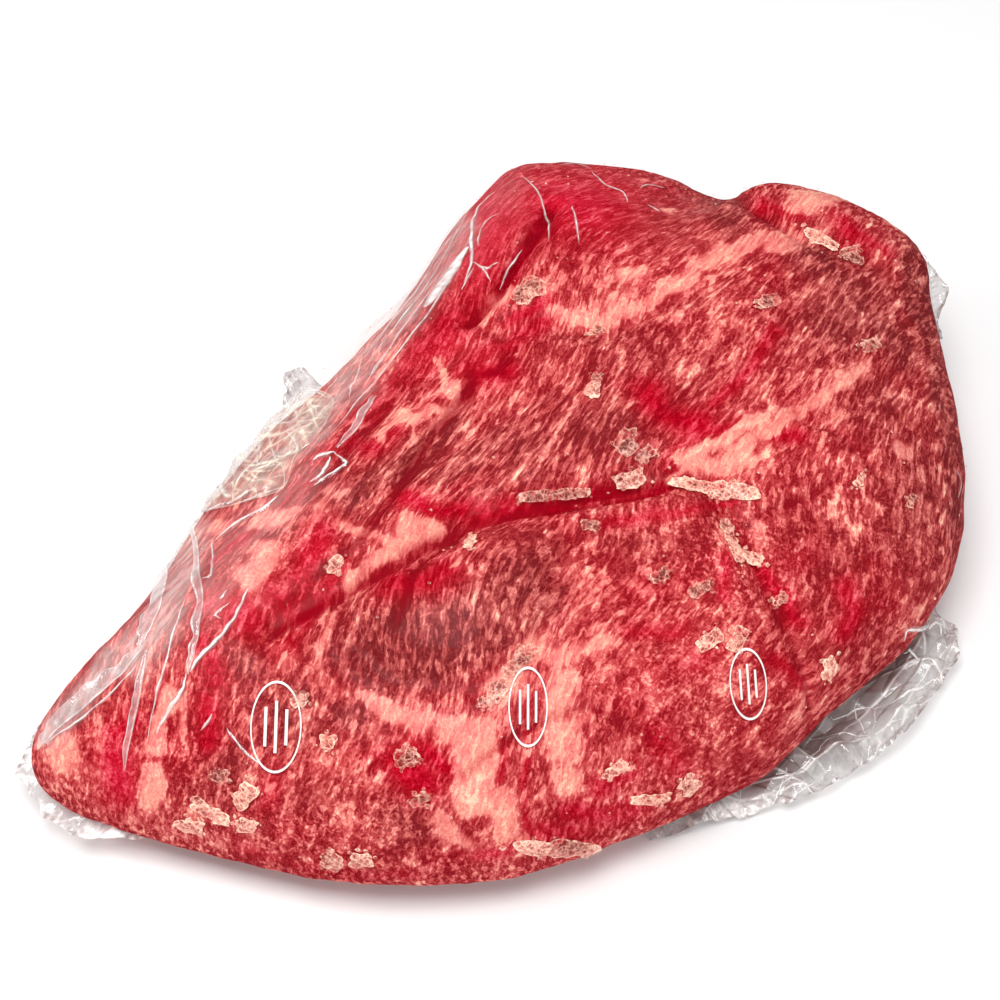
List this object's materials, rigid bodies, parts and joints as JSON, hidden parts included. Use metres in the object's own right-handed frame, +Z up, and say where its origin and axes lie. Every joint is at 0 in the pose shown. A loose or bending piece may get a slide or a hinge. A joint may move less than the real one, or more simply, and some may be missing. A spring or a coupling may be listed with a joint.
{
  "type": "vacuum-packed wagyu chuck roll",
  "caption": "Boneless marbled beef chuck roll lying flat in clear clinging vacuum film, with a crumpled film tail at one side.",
  "frame": {"origin": "centre of the box round the pack, at the surface that it lies on", "axes": "+X towards the thick right end, +Y towards the shoulder at the back, +Z up out of the marbled top"},
  "size_m": [0.4362, 0.4006, 0.114],
  "materials": {
    "beef": "raw marbled beef",
    "film": "clear clinging vacuum film",
    "air_pockets": "frothy air and juice under the film",
    "print": "white ink on film"
  },
  "bodies": {
    "root": {"packed_chuck_roll": "beef"}
  },
  "joints": []
}
